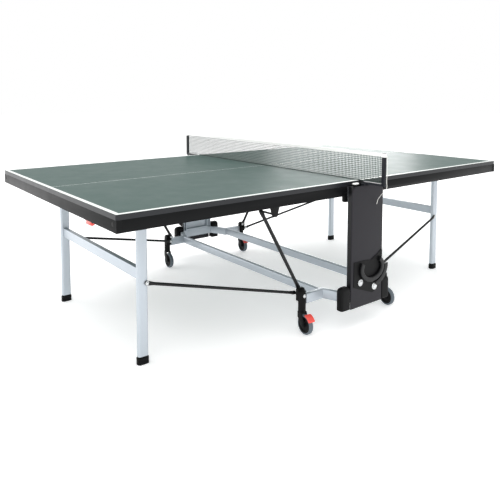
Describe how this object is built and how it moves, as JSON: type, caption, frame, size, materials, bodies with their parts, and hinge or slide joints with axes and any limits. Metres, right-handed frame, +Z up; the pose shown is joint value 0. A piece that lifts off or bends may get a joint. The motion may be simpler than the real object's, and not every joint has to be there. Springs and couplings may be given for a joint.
{
  "type": "ping pong table",
  "caption": "Folding ping pong table on a wheeled chassis: two half tables that fold upright, folding leg frames, struts, towers and a net between posts.",
  "frame": {"origin": "on the floor under the middle of the net, at the table's centre", "axes": "+X along the table's length to the right half, +Y across to the far side, +Z up"},
  "size_m": [2.74, 1.8605, 0.9125],
  "materials": {
    "playing_surface": "matt green table paint",
    "painted_apron": "satin black powder coat",
    "silver_paint": "satin silver powder coat",
    "black_steel": "semi-gloss black paint",
    "black_plastic": "moulded black nylon",
    "grey_cover": "dark grey powder coat",
    "wheel_rubber": "blue-grey soft tread on a black hub",
    "red_plastic": "moulded coral red",
    "net_mesh": "dark knotted net with a white top tape",
    "post_paint": "black-blue powder coat",
    "white_cord": "braided white cord"
  },
  "bodies": {
    "chassis": {"left_long_tube": "silver_paint", "right_long_tube": "silver_paint", "near_chassis_side": "silver_paint", "near_tower_cover": "grey_cover", "near_net_post": "post_paint", "far_chassis_side": "silver_paint", "far_tower_cover": "grey_cover", "far_net_post": "post_paint", "net": "net_mesh", "net_tension_cord": "white_cord", "near_left_caster_bracket": "black_plastic", "near_right_caster_bracket": "black_plastic", "far_left_caster_bracket": "black_plastic", "far_right_caster_bracket": "black_plastic"},
    "near_left_fork": {"near_left_caster_fork": "black_plastic"},
    "near_left_wheel": {"near_left_caster_wheel": "wheel_rubber"},
    "near_left_brake": {"near_left_brake_tab": "red_plastic"},
    "near_right_fork": {"near_right_caster_fork": "black_plastic"},
    "near_right_wheel": {"near_right_caster_wheel": "wheel_rubber"},
    "far_left_fork": {"far_left_caster_fork": "black_plastic"},
    "far_left_wheel": {"far_left_caster_wheel": "wheel_rubber"},
    "far_right_fork": {"far_right_caster_fork": "black_plastic"},
    "far_right_wheel": {"far_right_caster_wheel": "wheel_rubber"},
    "far_right_brake": {"far_right_brake_tab": "red_plastic"},
    "left_slides": {"near_left_slider": "black_steel", "far_left_slider": "black_steel"},
    "left_half": {"left_board": "playing_surface", "left_end_rail": "painted_apron", "left_inner_rail": "painted_apron", "left_leg_rail": "painted_apron", "near_left_side_rail": "painted_apron", "far_left_side_rail": "painted_apron"},
    "left_leg_frame": {"left_leg_crossbar": "silver_paint", "near_left_leg": "silver_paint", "far_left_leg": "silver_paint"},
    "left_struts": {"near_left_strut": "black_steel", "far_left_strut": "black_steel"},
    "left_tie_rods": {"near_left_tie_rod": "black_steel", "far_left_tie_rod": "black_steel"},
    "left_lever": {"left_release_lever": "red_plastic"},
    "near_left_foot": {"near_left_foot": "black_plastic"},
    "far_left_foot": {"far_left_foot": "black_plastic"},
    "right_slides": {"near_right_slider": "black_steel", "far_right_slider": "black_steel"},
    "right_half": {"right_board": "playing_surface", "right_end_rail": "painted_apron", "right_inner_rail": "painted_apron", "right_leg_rail": "painted_apron", "near_right_side_rail": "painted_apron", "far_right_side_rail": "painted_apron"},
    "right_leg_frame": {"right_leg_crossbar": "silver_paint", "near_right_leg": "silver_paint", "far_right_leg": "silver_paint"},
    "right_struts": {"far_right_strut": "black_steel"},
    "right_tie_rods": {"near_right_tie_rod": "black_steel", "far_right_tie_rod": "black_steel"},
    "right_lever": {"right_release_lever": "red_plastic"},
    "near_right_foot": {"near_right_foot": "black_plastic"},
    "far_right_foot": {"far_right_foot": "black_plastic"}
  },
  "joints": [
    {"name": "near_left_swivel", "type": "hinge", "parent": "chassis", "child": "near_left_fork", "pos_m": [-0.325, -0.675, 0.14], "axis": [0, 0, 1], "continuous": true},
    {"name": "near_left_wheel_spin", "type": "hinge", "parent": "near_left_fork", "child": "near_left_wheel", "pos_m": [-0.32695, -0.70293, 0.05], "axis": [0.9976, -0.0698, 0], "continuous": true},
    {"name": "near_left_brake_press", "type": "hinge", "parent": "near_left_fork", "child": "near_left_brake", "pos_m": [-0.32695, -0.70293, 0.05], "axis": [0.9976, -0.0698, 0], "range_deg": [0, 14]},
    {"name": "near_right_swivel", "type": "hinge", "parent": "chassis", "child": "near_right_fork", "pos_m": [0.325, -0.675, 0.14], "axis": [0, 0, 1], "continuous": true},
    {"name": "near_right_wheel_spin", "type": "hinge", "parent": "near_right_fork", "child": "near_right_wheel", "pos_m": [0.32305, -0.70293, 0.05], "axis": [0.9976, -0.0698, 0], "continuous": true},
    {"name": "far_left_swivel", "type": "hinge", "parent": "chassis", "child": "far_left_fork", "pos_m": [-0.325, 0.675, 0.14], "axis": [0, 0, 1], "continuous": true},
    {"name": "far_left_wheel_spin", "type": "hinge", "parent": "far_left_fork", "child": "far_left_wheel", "pos_m": [-0.32695, 0.64707, 0.05], "axis": [0.9976, -0.0698, 0], "continuous": true},
    {"name": "far_right_swivel", "type": "hinge", "parent": "chassis", "child": "far_right_fork", "pos_m": [0.325, 0.675, 0.14], "axis": [0, 0, 1], "continuous": true},
    {"name": "far_right_wheel_spin", "type": "hinge", "parent": "far_right_fork", "child": "far_right_wheel", "pos_m": [0.32305, 0.64707, 0.05], "axis": [0.9976, -0.0698, 0], "continuous": true},
    {"name": "far_right_brake_press", "type": "hinge", "parent": "far_right_fork", "child": "far_right_brake", "pos_m": [0.32305, 0.64707, 0.05], "axis": [0.9976, -0.0698, 0], "range_deg": [0, 14]},
    {"name": "left_slide", "type": "slide", "parent": "chassis", "child": "left_slides", "axis": [0, 0, -1], "range_m": [0, 0.45]},
    {"name": "left_fold", "type": "hinge", "parent": "left_slides", "child": "left_half", "pos_m": [-0.106, 0, 0.672], "axis": [0, 1, 0], "range_deg": [0, 90]},
    {"name": "left_leg_fold", "type": "hinge", "parent": "left_half", "child": "left_leg_frame", "pos_m": [-1.12, 0, 0.65], "axis": [0, 1, 0], "range_deg": [-90, 0]},
    {"name": "left_strut_swing", "type": "hinge", "parent": "chassis", "child": "left_struts", "pos_m": [-0.313, 0, 0.215], "axis": [0, 1, 0], "range_deg": [0, 51.92]},
    {"name": "left_tie_rod_swing", "type": "hinge", "parent": "chassis", "child": "left_tie_rods", "pos_m": [-0.328, 0, 0.1907], "axis": [0, 1, 0], "range_deg": [0, 92.81]},
    {"name": "left_lever_pull", "type": "hinge", "parent": "left_half", "child": "left_lever", "pos_m": [-1.3575, -0.476, 0.6824], "axis": [0, 1, 0], "range_deg": [0, 25], "stiffness_Nm_per_rad": 0.3, "springref_deg": -8.59},
    {"name": "near_left_foot_screw", "type": "slide", "parent": "left_leg_frame", "child": "near_left_foot", "axis": [0, 0, -1], "range_m": [0, 0.01]},
    {"name": "far_left_foot_screw", "type": "slide", "parent": "left_leg_frame", "child": "far_left_foot", "axis": [0, 0, -1], "range_m": [0, 0.01]},
    {"name": "right_slide", "type": "slide", "parent": "chassis", "child": "right_slides", "axis": [0, 0, -1], "range_m": [0, 0.45]},
    {"name": "right_fold", "type": "hinge", "parent": "right_slides", "child": "right_half", "pos_m": [0.106, 0, 0.672], "axis": [0, -1, 0], "range_deg": [0, 90]},
    {"name": "right_leg_fold", "type": "hinge", "parent": "right_half", "child": "right_leg_frame", "pos_m": [1.12, 0, 0.65], "axis": [0, -1, 0], "range_deg": [-90, 0]},
    {"name": "right_strut_swing", "type": "hinge", "parent": "chassis", "child": "right_struts", "pos_m": [0.313, 0, 0.215], "axis": [0, -1, 0], "range_deg": [0, 51.92]},
    {"name": "right_tie_rod_swing", "type": "hinge", "parent": "chassis", "child": "right_tie_rods", "pos_m": [0.328, 0, 0.1907], "axis": [0, -1, 0], "range_deg": [0, 92.81]},
    {"name": "right_lever_pull", "type": "hinge", "parent": "right_half", "child": "right_lever", "pos_m": [1.3575, 0.476, 0.6824], "axis": [0, -1, 0], "range_deg": [0, 25], "stiffness_Nm_per_rad": 0.3, "springref_deg": -8.59},
    {"name": "near_right_foot_screw", "type": "slide", "parent": "right_leg_frame", "child": "near_right_foot", "axis": [0, 0, -1], "range_m": [0, 0.01]},
    {"name": "far_right_foot_screw", "type": "slide", "parent": "right_leg_frame", "child": "far_right_foot", "axis": [0, 0, -1], "range_m": [0, 0.01]}
  ],
  "couplings": [
    {"joint": "left_slide", "follows": "left_fold", "m_per_rad": 0.28648},
    {"joint": "left_leg_fold", "follows": "left_fold", "ratio": -1},
    {"joint": "left_strut_swing", "follows": "left_fold", "ratio": 0.57683},
    {"joint": "left_tie_rod_swing", "follows": "left_fold", "ratio": 1.0312},
    {"joint": "right_slide", "follows": "right_fold", "m_per_rad": 0.28648},
    {"joint": "right_leg_fold", "follows": "right_fold", "ratio": -1},
    {"joint": "right_strut_swing", "follows": "right_fold", "ratio": 0.57683},
    {"joint": "right_tie_rod_swing", "follows": "right_fold", "ratio": 1.0312}
  ]
}
